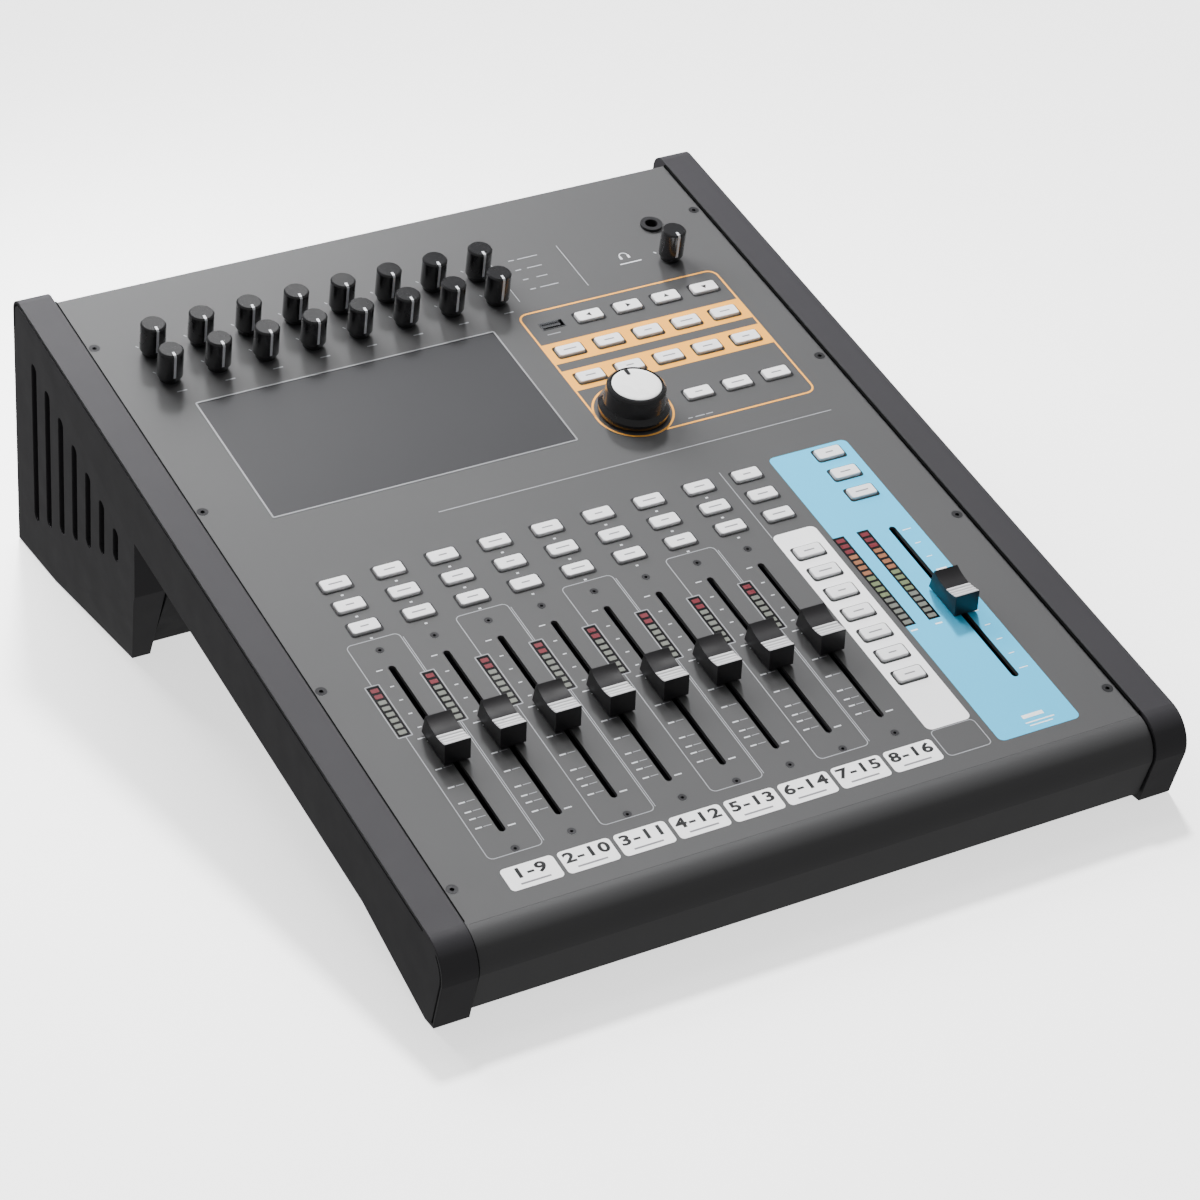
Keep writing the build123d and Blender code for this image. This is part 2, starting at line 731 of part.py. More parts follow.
def socket(x, z):
    """A round panel socket with a square flange outside the rear panel."""
    width, height, thickness = flange_size
    flange = Plane((x, rear_plane + seat_gap, z), x_dir=(1, 0, 0), z_dir=(0, 1, 0)) * extrude(
        RectangleRounded(width, height, 2.5), thickness
    )
    body = flange + rear_disc(barrel_radius, rear_plane - barrel_length, rear_plane + 0.5, x, z)
    mouth = rear_plane + thickness + seat_gap
    for side in (-1, 1):
        screw_x = x + side * (width / 2 - flange_screw_inset)
        screw_z = z - side * (height / 2 - flange_screw_inset)
        body -= rear_disc(rear_screw_radius + screw_gap, rear_plane - 1, mouth + 1, screw_x, screw_z)
    return body - rear_disc(socket_recess_radius, mouth - socket_recess_depth, mouth + 1, x, z)


def input_sockets():
    """Sixteen combined sockets, each with a jack bore in its floor."""
    bore_end = rear_plane - barrel_length + 1.5
    pieces = []
    for z in socket_rows[:2]:
        for x in socket_x:
            pieces.append(socket(x, z) - rear_disc(jack_radius, bore_end, rear_plane, x, z))
    return Compound(children=pieces)


def output_sockets():
    """Eight output sockets, each with three contact pins in its recess."""
    floor = rear_plane + flange_size[2] + seat_gap - socket_recess_depth
    pieces = []
    for x in socket_x:
        body = socket(x, socket_rows[2])
        for pin_x, pin_z in ((-3.6, 1.8), (3.6, 1.8), (0.0, -3.6)):
            body += rear_disc(1.1, floor - 0.5, floor + 7.0, x + pin_x, socket_rows[2] + pin_z)
        pieces.append(body)
    return Compound(children=pieces)


def mains_inlet():
    """The mains module: a recess with three contact blades, and the rocker's opening above it."""
    x, z = inlet_place
    width, height = inlet_size
    outside = rear_plane + seat_gap
    flange = Plane((x, outside, z), x_dir=(1, 0, 0), z_dir=(0, 1, 0)) * extrude(
        RectangleRounded(width, height, 2.0), inlet_flange_thickness
    )
    side_flange, end_flange = inlet_flange
    body = flange + Pos(x, outside - 11.0, z) * Box(width - 2 * side_flange, 24.0, height - 2 * end_flange)
    recess_z = z - recess_drop
    mouth = outside + inlet_flange_thickness
    body -= Pos(x, mouth - recess_size[1] / 2, recess_z) * Box(*recess_size)
    for blade_x, blade_z in ((-7.0, -1.5), (7.0, -1.5), (0.0, 2.5)):
        body += Pos(x + blade_x, mouth - 12.0, recess_z + blade_z) * Box(*blade_size)
    pivot_z = z + rocker_rise
    body -= Pos(x, mouth - 7.0, pivot_z) * Box(rocker_width + 0.8, 14.0, 2 * rocker_half + 2.4)
    body -= Pos(x, rocker_pivot_y(), pivot_z) * Rot(0, 90, 0) * Cylinder(
        pivot_radius + running_gap, rocker_width + 4.0
    )
    return body


def rocker_pivot_y():
    return rear_plane - pivot_inset


def power_rocker():
    """The power rocker, tipped to one side on its pivot pins."""
    x, z = inlet_place
    pivot_z = z + rocker_rise
    face = make_face(Polyline(
        (-7.2, 4.9), (0, 3.6), (7.2, 4.9), (6.0, -2.0), (0, -3.5), (-6.0, -2.0), close=True
    ).edges())
    body = Plane((-rocker_width / 2, 0, 0), x_dir=(0, 0, 1), z_dir=(-1, 0, 0)) * extrude(face, -rocker_width)
    body += Rot(0, 90, 0) * Cylinder(pivot_radius, rocker_width + 2.4)
    return Pos(x, rocker_pivot_y(), pivot_z) * Rot(-8.0, 0, 0) * body


# ---- Inside ----
def main_board():
    """The signal board under the display."""
    top = -sheet - module_depth - 10.0
    width = display_width + 80.0
    return block(width, display_length + 8.0, top - board_sheet, top, display_x + 40.0, display_y)


def power_supply():
    """The closed supply unit on the floor of the rear box, in front of the mains inlet."""
    floor = pan_ground_gap + pan_sheet
    level = floor + supply_legs
    width, length, height = supply_size
    x = inlet_place[0]
    y = ground_y(rear_plane, height_at(rear_plane, pan_ground_gap)) - supply_setback
    unit = block(width, length, level, level + height, x, y)
    for side_x in (-1, 1):
        for side_y in (-1, 1):
            leg_x = x + side_x * (width / 2 - 8.0)
            leg_y = y + side_y * (length / 2 - 8.0)
            unit += disc(3.0, floor, level + 0.5, leg_x, leg_y)
    return level_to_panel * unit


# ---- Screws ----
def sunk_screw(x, y, radius, head_radius, length, gap=0.0):
    """A countersunk screw with its head flush with the face, or with a gap the hole for it."""
    head = head_radius + gap
    shank = radius + gap
    points = [
        (0, -length - gap), (shank, -length - gap), (shank, -(head_radius - radius)),
        (head, 0.0), (head, 0.02 + 5 * gap), (0, 0.02 + 5 * gap),
    ]
    return turned(points, (x, y))


def socket_key(x, y, size):
    """The six-sided recess in a screw's head."""
    return Pos(x, y, -1.2) * extrude(RegularPolygon(size, 6), 2.0)


def casing_screws():
    """The eight panel screws, the two screws of each fader and the rear panel's screws."""
    screws = rear_screws()
    for x, y in panel_screws_at:
        screw = sunk_screw(x, y, screw_radius, screw_head_radius, screw_length)
        screws.append(screw - socket_key(x, y, screw_key_radius))
    for x, y in fader_screws:
        screw = sunk_screw(x, y, fader_screw_radius, fader_screw_head, fader_screw_length)
        screws.append(screw - socket_key(x, y, fader_screw_key_radius))
    return Compound(children=screws)


def rear_screws_at():
    """X and Z of the rear panel's screws, two to each socket's flange."""
    reach_x = flange_size[0] / 2 - flange_screw_inset
    reach_z = flange_size[1] / 2 - flange_screw_inset
    places = [(x - reach_x, z + reach_z) for x in socket_x for z in socket_rows]
    places += [(x + reach_x, z - reach_z) for x in socket_x for z in socket_rows]
    return places


def rear_screws():
    """Pan-head screws through the socket flanges."""
    face = rear_plane + seat_gap + flange_size[2]
    height = rear_screw_head_height
    screws = []
    for x, z in rear_screws_at():
        head = rear_disc(rear_screw_head, face, face + height, x, z)
        shank = rear_disc(rear_screw_radius, face - rear_screw_length, face + height / 2, x, z)
        slot = Pos(x, face + height, z) * Box(rear_screw_slot, height, 1.5 * rear_screw_head)
        screws.append(head + shank - slot)
    return screws


# ---- Placing and writing ----
tilt = Location((0, 0, panel_front_height), (panel_slope, 0, 0))
level_to_panel = tilt.inverse()


def footprint_centre():
    """Half-way between the nose and the rear feet, as a level distance."""
    box = (tilt * (Plane.YZ * cheek_outline())).bounding_box()
    return (box.min.Y + box.max.Y) / 2


nodes = {
    "top_panel": top_panel(),
    "front_nose": front_nose(),
    "base_pan": base_pan(),
    "rear_panel": rear_panel(),
    "cheek_right": cheek_right(),
    "rubber_feet": rubber_feet(),
    "display_glass": display_glass(),
    "display_module": display_module(),
    "meter_windows": meter_windows(),
    "key_boards": key_boards(),
    "gain_pots": gain_pots(),
    "encoder_body": pot(encoder_place, 16.0),
    "encoder_knob": encoder_knob(),
    "phones_knob": knob(phones_knob_place),
    "fader_frames": fader_frames(),
    "fader_motors": fader_motors(),
    "master_fader_cap": fader_cap(master_x),
    "main_board": main_board(),
    "power_supply": power_supply(),
    "input_sockets": input_sockets(),
    "output_sockets": output_sockets(),
    "mains_inlet": mains_inlet(),
    "power_rocker": power_rocker(),
    "usb_socket": usb_socket(),
    "phones_socket": phones_socket(),
    "casing_screws": casing_screws(),
}
nodes["cheek_left"] = mirror(nodes["cheek_right"], Plane.YZ)
for number, place in enumerate(knob_places(), 1):
    nodes[f"gain_knob_{number}"] = knob(place)
for number, x in enumerate(channel_x, 1):
    nodes[f"fader_cap_{number}"] = fader_cap(x)
for name, places in key_banks.items():
    nodes[name] = key_bank(places)

to_desk = Location((0, -footprint_centre(), 0)) * tilt
os.makedirs("parts", exist_ok=True)
for name, shape in nodes.items():
    export_step(to_desk * shape, f"parts/{name}.step")
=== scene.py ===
import json
from math import atan2, cos, hypot, pi, radians, sin

import bmesh
import bpy
from mathutils import Matrix, Vector
from mathutils.geometry import delaunay_2d_cdt


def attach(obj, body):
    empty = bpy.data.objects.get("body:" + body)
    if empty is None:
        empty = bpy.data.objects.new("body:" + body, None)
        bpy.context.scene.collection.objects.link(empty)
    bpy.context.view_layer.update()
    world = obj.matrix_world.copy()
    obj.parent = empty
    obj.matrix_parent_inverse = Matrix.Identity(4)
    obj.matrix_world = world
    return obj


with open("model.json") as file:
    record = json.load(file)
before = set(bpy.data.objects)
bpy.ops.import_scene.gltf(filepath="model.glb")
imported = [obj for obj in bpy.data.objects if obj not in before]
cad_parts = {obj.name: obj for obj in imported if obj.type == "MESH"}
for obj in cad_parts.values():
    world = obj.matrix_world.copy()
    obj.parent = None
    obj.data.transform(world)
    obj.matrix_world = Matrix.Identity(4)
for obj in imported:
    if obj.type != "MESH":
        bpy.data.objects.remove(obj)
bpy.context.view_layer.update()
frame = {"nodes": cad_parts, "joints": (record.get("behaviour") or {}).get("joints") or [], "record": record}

MM = 0.001

# ---- Camera ----
CAMERA_PLACE = (-0.7193, -1.3662, 0.9160)
CAMERA_RIGHT = (0.87741, -0.47969, -0.00657)
CAMERA_DOWN = (-0.24286, -0.43233, -0.8684)
CAMERA_LENS = 113.66
SENSOR = 36.0


def add_camera():
    right = Vector(CAMERA_RIGHT).normalized()
    up = -Vector(CAMERA_DOWN).normalized()
    back = right.cross(up)
    data = bpy.data.cameras.new("camera")
    data.lens = CAMERA_LENS
    data.sensor_width = SENSOR
    camera = bpy.data.objects.new("camera", data)
    camera.matrix_world = Matrix((
        (right.x, up.x, back.x, CAMERA_PLACE[0]),
        (right.y, up.y, back.y, CAMERA_PLACE[1]),
        (right.z, up.z, back.z, CAMERA_PLACE[2]),
        (0, 0, 0, 1),
    ))
    bpy.context.scene.collection.objects.link(camera)
    bpy.context.scene.camera = camera


add_camera()

# ---- Panel axes: U to the right, V up the panel, H out of its face, in millimetres ----
joints = {joint["name"]: joint for joint in frame["joints"]}
AXIS_U = Vector((1, 0, 0))
AXIS_V = Vector(joints["fader_cap_1_slide"]["axis"]).normalized()
AXIS_H = AXIS_U.cross(AXIS_V)
TRAVEL = (joints["fader_cap_1_slide"]["range_m"][1] - joints["fader_cap_1_slide"]["range_m"][0]) / MM


def along(point):
    """A point's place along the three panel axes, in millimetres, before the origin is set."""
    return Vector((point.dot(AXIS_U), point.dot(AXIS_V), point.dot(AXIS_H))) / MM


def raw_solids(node):
    """The (lowest, highest) corners of each separate solid of a node, along the panel axes."""
    mesh = frame["nodes"][node].data
    joined = {}
    keys = [tuple(round(c, 6) for c in vertex.co) for vertex in mesh.vertices]

    def root(key):
        while joined.setdefault(key, key) != key:
            joined[key] = joined[joined[key]]
            key = joined[key]
        return key

    for edge in mesh.edges:
        joined[root(keys[edge.vertices[0]])] = root(keys[edge.vertices[1]])
    groups = {}
    for key, vertex in zip(keys, mesh.vertices):
        groups.setdefault(root(key), []).append(along(vertex.co))
    solids = []
    for points in groups.values():
        low = Vector([min(p[axis] for p in points) for axis in range(3)])
        high = Vector([max(p[axis] for p in points) for axis in range(3)])
        solids.append((low, high))
    return sorted(solids, key=lambda solid: (round(solid[0].y), solid[0].x))


face_height = max(along(vertex.co).z for vertex in frame["nodes"]["top_panel"].data.vertices)
corner_screw = max(raw_solids("casing_screws"), key=lambda solid: (round(abs(solid[0].x)), -solid[0].y))
ORIGIN = Vector((0, (corner_screw[0].y + corner_screw[1].y) / 2, face_height))
PANEL = Matrix((
    (AXIS_U.x * MM, AXIS_V.x * MM, AXIS_H.x * MM, 0),
    (AXIS_U.y * MM, AXIS_V.y * MM, AXIS_H.y * MM, 0),
    (AXIS_U.z * MM, AXIS_V.z * MM, AXIS_H.z * MM, 0),
    (0, 0, 0, 1),
)) @ Matrix.Translation(ORIGIN)


def solids(node):
    return [(low - ORIGIN, high - ORIGIN) for low, high in raw_solids(node)]


def panel_box(node):
    """The (lowest, highest) corners of a whole node in panel axes."""
    boxes = solids(node)
    low = Vector([min(box[0][axis] for box in boxes) for axis in range(3)])
    high = Vector([max(box[1][axis] for box in boxes) for axis in range(3)])
    return low, high


def middle(box):
    return (box[0] + box[1]) / 2


# ---- Materials ----
def linear(red, green, blue):
    """A display colour, 0 to 255, as the linear colour that a shader takes."""
    parts = [c / 255 for c in (red, green, blue)]
    return [c / 12.92 if c < 0.04045 else ((c + 0.055) / 1.055) ** 2.4 for c in parts]


def material(name, colour, rough=0.5, spread=0.12, grain=900.0, bump=0.02, rough_spread=0.08,
             metallic=0.0, coat=0.0, edge=0.0, stretch=(1, 1, 1), specular=0.5, cloud=18.0, glow=0.0):
    """A finish with cloudy colour, uneven gloss and fine grain; bump and edge are in millimetres."""
    made = bpy.data.materials.new(name)
    made.use_nodes = True
    nodes = made.node_tree.nodes
    links = made.node_tree.links
    shader = nodes["Principled BSDF"]
    shader.inputs["Metallic"].default_value = metallic
    shader.inputs["Coat Weight"].default_value = coat
    shader.inputs["Coat Roughness"].default_value = 0.12
    shader.inputs["Specular IOR Level"].default_value = specular
    place = nodes.new("ShaderNodeTexCoord")
    mapping = nodes.new("ShaderNodeMapping")
    mapping.inputs["Scale"].default_value = stretch
    links.new(place.outputs["Object"], mapping.inputs["Vector"])

    def noise(scale, detail):
        node = nodes.new("ShaderNodeTexNoise")
        node.inputs["Scale"].default_value = scale
        node.inputs["Detail"].default_value = detail
        links.new(mapping.outputs["Vector"], node.inputs["Vector"])
        return node.outputs["Fac"]

    broad = noise(cloud, 4)
    fine = noise(grain, 3)
    mixed = nodes.new("ShaderNodeMath")
    mixed.operation = "MULTIPLY_ADD"
    mixed.inputs[1].default_value = 0.45
    links.new(fine, mixed.inputs[0])
    links.new(broad, mixed.inputs[2])
    tint = nodes.new("ShaderNodeMix")
    tint.data_type = "RGBA"
    tint.inputs["A"].default_value = (*[c * (1 - spread) for c in colour], 1)
    tint.inputs["B"].default_value = (*[min(1, c * (1 + spread)) for c in colour], 1)
    spot = nodes.new("ShaderNodeMapRange")
    spot.inputs["From Min"].default_value = 0.4
    spot.inputs["From Max"].default_value = 1.05
    links.new(mixed.outputs[0], spot.inputs["Value"])
    links.new(spot.outputs["Result"], tint.inputs["Factor"])
    links.new(tint.outputs["Result"], shader.inputs["Base Color"])
    gloss = nodes.new("ShaderNodeMapRange")
    gloss.inputs["From Min"].default_value = 0.3
    gloss.inputs["From Max"].default_value = 0.7
    gloss.inputs["To Min"].default_value = max(0.02, rough - rough_spread)
    gloss.inputs["To Max"].default_value = min(1.0, rough + rough_spread)
    links.new(noise(cloud * 4, 6), gloss.inputs["Value"])
    links.new(gloss.outputs["Result"], shader.inputs["Roughness"])
    relief = nodes.new("ShaderNodeBump")
    relief.inputs["Strength"].default_value = 0.6
    relief.inputs["Distance"].default_value = bump * MM
    links.new(fine, relief.inputs["Height"])
    if edge:
        rounding = nodes.new("ShaderNodeBevel")
        rounding.samples = 4
        rounding.inputs["Radius"].default_value = edge * MM
        links.new(rounding.outputs["Normal"], relief.inputs["Normal"])
    links.new(relief.outputs["Normal"], shader.inputs["Normal"])
    if glow:
        links.new(tint.outputs["Result"], shader.inputs["Emission Color"])
        shader.inputs["Emission Strength"].default_value = glow
    return made


BRUSHED = (1, 14, 14)
finishes = {
    "panel_grey": material("panel_paint", linear(74, 74, 75), 0.46, 0.03, 1500, 0.020, 0.02, edge=0.4),
    "cheek_grey": material("cheek_paint", linear(49, 48, 51), 0.48, 0.05, 1300, 0.030, 0.03, edge=0.8),
    "pan_black": material("pan_powder_coat", linear(44, 44, 46), 0.55, 0.15, 1100, 0.060),
    "key_white": material("key_plastic", linear(232, 232, 234), 0.38, 0.03, 1200, 0.008,
                          edge=0.35, coat=0.15),
    "knob_black": material("knob_gloss", linear(20, 20, 22), 0.24, 0.20, 2400, 0.004, 0.06,
                           edge=0.3, coat=0.5),
    "cap_black": material("cap_plastic", linear(26, 25, 27), 0.36, 0.20, 1800, 0.012, edge=0.4),
    "screen": material("screen_glass", linear(56, 56, 58), 0.30, 0.02, 30, 0.0, 0.01, specular=0.35),
    "meter_lens": material("meter_lens", linear(16, 16, 18), 0.16, 0.2, 600, 0.004, 0.05, coat=0.5),
    "socket_black": material("socket_nylon", linear(36, 36, 38), 0.50, 0.18, 1600, 0.020, edge=0.3),
    "board_green": material("board_mask", linear(26, 92, 60), 0.30, 0.2, 700, 0.010, coat=0.3),
    "steel": material("zinc_steel", linear(176, 178, 182), 0.34, 0.10, 900, 0.010,
                      metallic=1.0, stretch=BRUSHED),
    "chrome": material("bright_chrome", linear(214, 215, 218), 0.14, 0.06, 900, 0.003, metallic=1.0),
    "screw_black": material("black_oxide", linear(62, 62, 64), 0.40, 0.25, 1500, 0.010, metallic=0.6),
    "foot_rubber": material("foot_rubber", linear(24, 24, 24), 0.80, 0.2, 900, 0.040),
    "aluminium": material("aluminium", linear(190, 192, 195), 0.38, 0.08, 800, 0.008,
                          metallic=1.0, stretch=BRUSHED),
}
ink_white = material("ink_white", linear(200, 202, 206), 0.55, 0.05, 900, 0.004)
ink_line = material("ink_pale_line", linear(150, 152, 156), 0.55, 0.10, 900, 0.004)
ink_grey = material("ink_grey", linear(120, 120, 124), 0.55, 0.10, 900, 0.004)
# black ink for real print, also used for the painted shade rings round the keys
black_ink_and_painted_shade = material("black_ink_and_painted_shade", linear(26, 26, 28), 0.50, 0.10, 900, 0.004)
ink_orange = material("ink_orange", linear(246, 170, 58), 0.50, 0.04, 1200, 0.006)
ink_blue = material("ink_blue", linear(64, 190, 236), 0.46, 0.03, 1500, 0.012)
strip_white = material("strip_white", linear(246, 246, 248), 0.46, 0.03, 1500, 0.012)
label_white = material("label_white", linear(248, 248, 249), 0.40, 0.03, 1200, 0.008)
band_silver = material("cap_band_silver", linear(206, 206, 208), 0.34, 0.05, 1200, 0.006, metallic=0.25)
disc_white = material("encoder_disc_white", linear(240, 240, 240), 0.34, 0.02, 1400, 0.006)
frame_silver = material("display_frame_silver", linear(150, 151, 154), 0.36, 0.05, 1000, 0.004, metallic=0.3)
# near-black, nearly matte finish: painted shade for the gaps beside the panel
gap_shade_black = material("painted_gap_shade", linear(12, 12, 12), 0.8, 0.1, 900, 0.01, specular=0.1)
led_red = material("led_red", linear(104, 40, 48), 0.30, 0.10, 900, 0.003)
led_pale = material("led_pale", linear(104, 107, 100), 0.30, 0.10, 900, 0.003)
led_amber = material("led_amber", linear(140, 92, 66), 0.30, 0.10, 900, 0.003)
led_green = material("led_green", linear(104, 116, 84), 0.30, 0.10, 900, 0.003)

for row in frame["record"]["subparts"]:
    node = frame["nodes"][row["node"]]
    for holder in node.material_slots:
        holder.material = finishes[row["material_slot"]]


# ---- Outlines in the panel's plane ----
def rounded(left, front, right, rear, radius, steps=5):
    """A rectangle with round corners, from its lower left corner round to the left."""
    corners = (
        (right, front, -90, -1, 1),
        (right, rear, 0, -1, -1),
        (left, rear, 90, 1, -1),
        (left, front, 180, 1, 1),
    )
    points = []
    for u, v, start, side_u, side_v in corners:
        for step in range(steps + 1):
            angle = radians(start + 90 * step / steps)
            points.append((u + radius * (side_u + cos(angle)), v + radius * (side_v + sin(angle))))
    return points


def circle(u, v, radius, steps=64):
    angles = [2 * pi * step / steps for step in range(steps)]
    return [(u + radius * cos(angle), v + radius * sin(angle)) for angle in angles]


def ring(left, front, right, rear, radius, width):
    """The two outlines of a line of this width along a rounded rectangle."""
    inner = rounded(left + width, front + width, right - width, rear - width, max(0.1, radius - width))
    return [rounded(left, front, right, rear, radius), inner]


def stroke(points, width):
    """The outline of a line of this width along open points."""
    sides = ([], [])
    for index, point in enumerate(points):
        before = points[max(0, index - 1)]
        after = points[min(len(points) - 1, index + 1)]
        run = hypot(after[0] - before[0], after[1] - before[1])
        across = (-(after[1] - before[1]) / run, (after[0] - before[0]) / run)
        for side, sign in zip(sides, (1, -1)):
            side.append((point[0] + sign * across[0] * width / 2, point[1] + sign * across[1] * width / 2))
    return sides[0] + sides[1][::-1]


def bar(left, front, right, rear):
    return [[(left, front), (right, front), (right, rear), (left, rear)]]


def dash(u, v, length, width=0.45):
    """A short line along U, centred on a point."""
    return bar(u - length / 2, v - width / 2, u + length / 2, v + width / 2)


# ---- Pieces: heights of inks and films above the face, each a little apart from the next ----
INK_TOP = 0.034
OUTLINE_TOP = 0.035
BAND_TOP = 0.036
FILM_TOP = 0.04
OVERPRINT_TOP = 0.07           # on top of a film
THIN_OVERPRINT_TOP = 0.06
KEY_PRINT = 0.03               # on a key


def inside(point, outline):
    """Whether a point lies inside a closed outline."""
    crossed = False
    for (u0, v0), (u1, v1) in zip(outline, outline[1:] + outline[:1]):
        if (v0 > point.y) != (v1 > point.y) and point.x < u0 + (point.y - v0) * (u1 - u0) / (v1 - v0):
            crossed = not crossed
    return crossed


def flat_solid(work, outlines, low, high):
    """Adds a thin solid between two heights, from its outer outline and its holes."""
    points = [Vector(point) for outline in outlines for point in outline]
    edges = []
    start = 0
    for outline in outlines:
        count = len(outline)
        edges += [(start + index, start + (index + 1) % count) for index in range(count)]
        start += count
    flat, _, faces, *_ = delaunay_2d_cdt(points, edges, [], 1, 1e-5)
    bottom = [work.verts.new((point.x, point.y, low)) for point in flat]
    top = [work.verts.new((point.x, point.y, high)) for point in flat]
    rim = {}
    for face in faces:
        centre = sum((flat[index] for index in face), Vector((0, 0))) / len(face)
        if any(inside(centre, hole) for hole in outlines[1:]):
            continue
        work.faces.new([top[index] for index in face])
        work.faces.new([bottom[index] for index in reversed(face)])
        for first, second in zip(face, face[1:] + face[:1]):
            if rim.pop((second, first), None) is None:
                rim[(first, second)] = True
    for first, second in rim:
        work.faces.new((bottom[first], bottom[second], top[second], top[first]))


def text_mesh(words, size, stretch, thickness):
    curve = bpy.data.curves.new("words", "FONT")
    curve.body = words
    curve.size = size
    curve.extrude = thickness / 2
    curve.offset = size * 0.03
    curve.space_character = 1.15
    curve.align_x = "CENTER"
    curve.align_y = "CENTER"
    curve.resolution_u = 3
    mesh = to_mesh(curve)
    mesh.transform(Matrix.Diagonal((stretch, 1, 1, 1)))
    return mesh


def to_mesh(curve):
    holder = bpy.data.objects.new("holder", curve)
    mesh = bpy.data.meshes.new_from_object(holder)
    bpy.data.objects.remove(holder)
    bpy.data.curves.remove(curve)
    return mesh


def finish_piece(name, work, finish, body, matrix=PANEL, smooth=False):
    """Puts a bmesh in the scene as a piece that rides on a body."""
    work.transform(matrix)
    bmesh.ops.remove_doubles(work, verts=work.verts, dist=1e-7)
    bmesh.ops.recalc_face_normals(work, faces=work.faces)
    mesh = bpy.data.meshes.new(name)
    work.to_mesh(mesh)
    work.free()
    mesh.materials.append(finish)
    for face in mesh.polygons:
        face.use_smooth = smooth
    piece = bpy.data.objects.new(name, mesh)
    bpy.context.scene.collection.objects.link(piece)
    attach(piece, body)
    return piece


def printed(name, finish, shapes, body="console", low=0.0, high=FILM_TOP, words=(), matrix=PANEL):
    """Ink, film or painted shade on a face: each shape is a list of outlines, each word (text, u, v, size,
    stretch).
    """
    work = bmesh.new()
    for outlines in shapes:
        flat_solid(work, outlines, low, high)
    for text, u, v, size, stretch in words:
        mesh = text_mesh(text, size, stretch, high - low)
        mesh.transform(Matrix.Translation((u, v, (low + high) / 2)))
        work.from_mesh(mesh)
        bpy.data.meshes.remove(mesh)
    return finish_piece(name, work, finish, body, matrix)


def lathe(profile, steps=64):
    """A bmesh turned about H from its (radius, height) profile."""
    work = bmesh.new()
    rows = []
    for radius, height in profile:
        if radius < 1e-6:
            rows.append([work.verts.new((0, 0, height))])
            continue
        ring_row = []
        for step in range(steps):
            angle = 2 * pi * step / steps
            ring_row.append(work.verts.new((radius * cos(angle), radius * sin(angle), height)))
        rows.append(ring_row)
    for lower, upper in zip(rows, rows[1:]):
        for step in range(steps):
            after = (step + 1) % steps
            corners = [lower[step % len(lower)], lower[after % len(lower)]]
            corners += [upper[after % len(upper)], upper[step % len(upper)]]
            unique = list(dict.fromkeys(corners))
            if len(unique) > 2:
                work.faces.new(unique)
    return work


# ---- Places read from the frame ----
CHANNELS = 8
caps = [panel_box(f"fader_cap_{number}") for number in range(1, CHANNELS + 1)]
channel_u = [middle(cap).x for cap in caps]
master_cap = panel_box("master_fader_cap")
master_u = middle(master_cap).x
slot_middle = middle(master_cap).y
SLOT_SPARE = 8.1
slot_front = slot_middle - (TRAVEL + SLOT_SPARE) / 2
slot_rear = slot_middle + (TRAVEL + SLOT_SPARE) / 2
KEY_BANKS = (
    "mute_keys", "solo_keys", "select_keys", "bus_keys", "master_keys",
    "layer_keys", "page_keys", "function_keys", "edit_keys",
)
keys = {bank: solids(bank) for bank in KEY_BANKS}
windows = solids("meter_windows")
MASTER_WINDOW_LENGTH = 50      # the master's two windows are longer than this
channel_windows = [box for box in windows if box[1].y - box[0].y < MASTER_WINDOW_LENGTH]
master_windows = [box for box in windows if box[1].y - box[0].y >= MASTER_WINDOW_LENGTH]
glass = panel_box("display_glass")
encoder = middle(panel_box("encoder_knob"))
usb = panel_box("usb_socket")
KEY_FLANGE = 0.8               # flange beyond the key on each side
KEY_CLEARANCE = 0.3            # from the key to the edge of the panel's hole
KEY_HOLE_RADIUS = 1.6
FILM_GAP = 0.15
SLOT_WIDTH = 3.2


def key_hole(box, gap=FILM_GAP):
    """The outline of the opening round a key, a little wider than the panel's own."""
    shrink = KEY_FLANGE - KEY_CLEARANCE - gap
    left, front = box[0].x + shrink, box[0].y + shrink
    return rounded(left, front, box[1].x - shrink, box[1].y - shrink, KEY_HOLE_RADIUS)


def slot_hole(u):
    half = SLOT_WIDTH / 2 + FILM_GAP
    return rounded(u - half, slot_front - FILM_GAP, u + half, slot_rear + FILM_GAP, half - 0.01)


# ---- Blue master area, white strip, orange bands ----
FILM_CORNER = 3.0
LINE_WIDTH = 0.4
THIN_LINE = 0.35
LAYER_FRONT = 15.2             # from the slots' front end to the white strip
LAYER_OUTLINE = 17.4           # length of the outline in front of the white strip
LINE = 1.0                     # width of the orange line
FRAME_CORNER = 5.0
ENCODER_RING = 19.8
BAND_REACH = 7.8               # half the depth of an orange band


def master_area():
    left, right = master_u - 29.7, master_u + 12.7
    front, rear = slot_front - 33.0, keys["master_keys"][-1][1].y + 2.4
    holes = [slot_hole(master_u)] + [key_hole(box) for box in keys["master_keys"]]
    for box in master_windows:
        holes.append(rounded(box[0].x - 0.1, box[0].y - 0.1, box[1].x + 0.1, box[1].y + 0.1, 0.2))
    printed("master_film", ink_blue, [[rounded(left, front, right, rear, FILM_CORNER)] + holes])
    marks = []
    divisions = 10
    for step in range(divisions + 1):
        v = slot_middle + TRAVEL / 2 - TRAVEL * step / divisions
        marks.append(dash(master_u + 6.2, v, 4.6 if step % 5 == 0 else 3.0, 0.5))
    for box in master_windows:
        marks.append(dash(middle(box).x, box[0].y - 3.4, 3.6, 0.9))
    marks.append(bar(master_u + 4.0, slot_middle + 14, master_u + 9.6, slot_middle + 21))
    foot_u = master_u - 7.0
    marks.append(dash(foot_u, slot_front - 23.6, 11.0, 2.2))
    marks.append(dash(foot_u + 1.5, slot_front - 27.4, 15.0, 0.7))
    marks.append(dash(foot_u + 1.0, slot_front - 29.4, 12.0, 0.6))
    printed("master_marks", label_white, marks, low=FILM_TOP, high=OVERPRINT_TOP)


